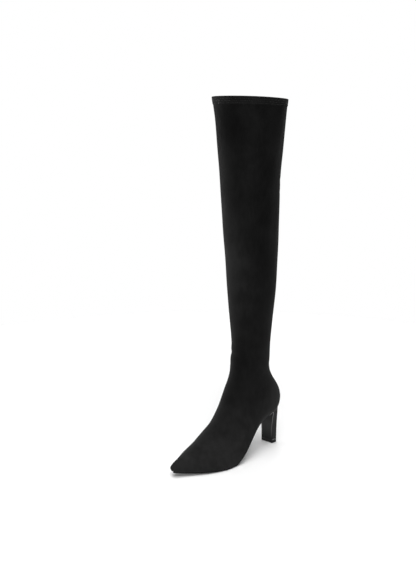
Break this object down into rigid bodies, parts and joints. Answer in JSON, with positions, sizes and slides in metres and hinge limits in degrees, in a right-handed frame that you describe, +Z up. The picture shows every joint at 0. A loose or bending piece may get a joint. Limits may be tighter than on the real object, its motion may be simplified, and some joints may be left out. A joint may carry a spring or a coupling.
{
  "type": "over-the-knee boot",
  "caption": "Left over-the-knee pull-on boot: stretch suede shaft hugging ankle and calf, pointed toe, thin sole and a slim glossy blade heel",
  "frame": {"origin": "centre of the footprint box on the floor, z = 0 at the floor", "axes": "+Z up along the shaft, toe points along -Y, outer side of the left foot faces +X"},
  "size_m": [0.1218, 0.2476, 0.6152],
  "materials": {
    "black_suede": "matte stretch suede",
    "black_sole": "satin",
    "black_lining": "matte",
    "black_gloss": "high gloss",
    "black_tip": "satin"
  },
  "bodies": {
    "root": {"upper": "black_suede", "outsole": "black_sole", "insole": "black_lining", "heel_block": "black_gloss", "heel_tip": "black_tip"}
  },
  "joints": []
}
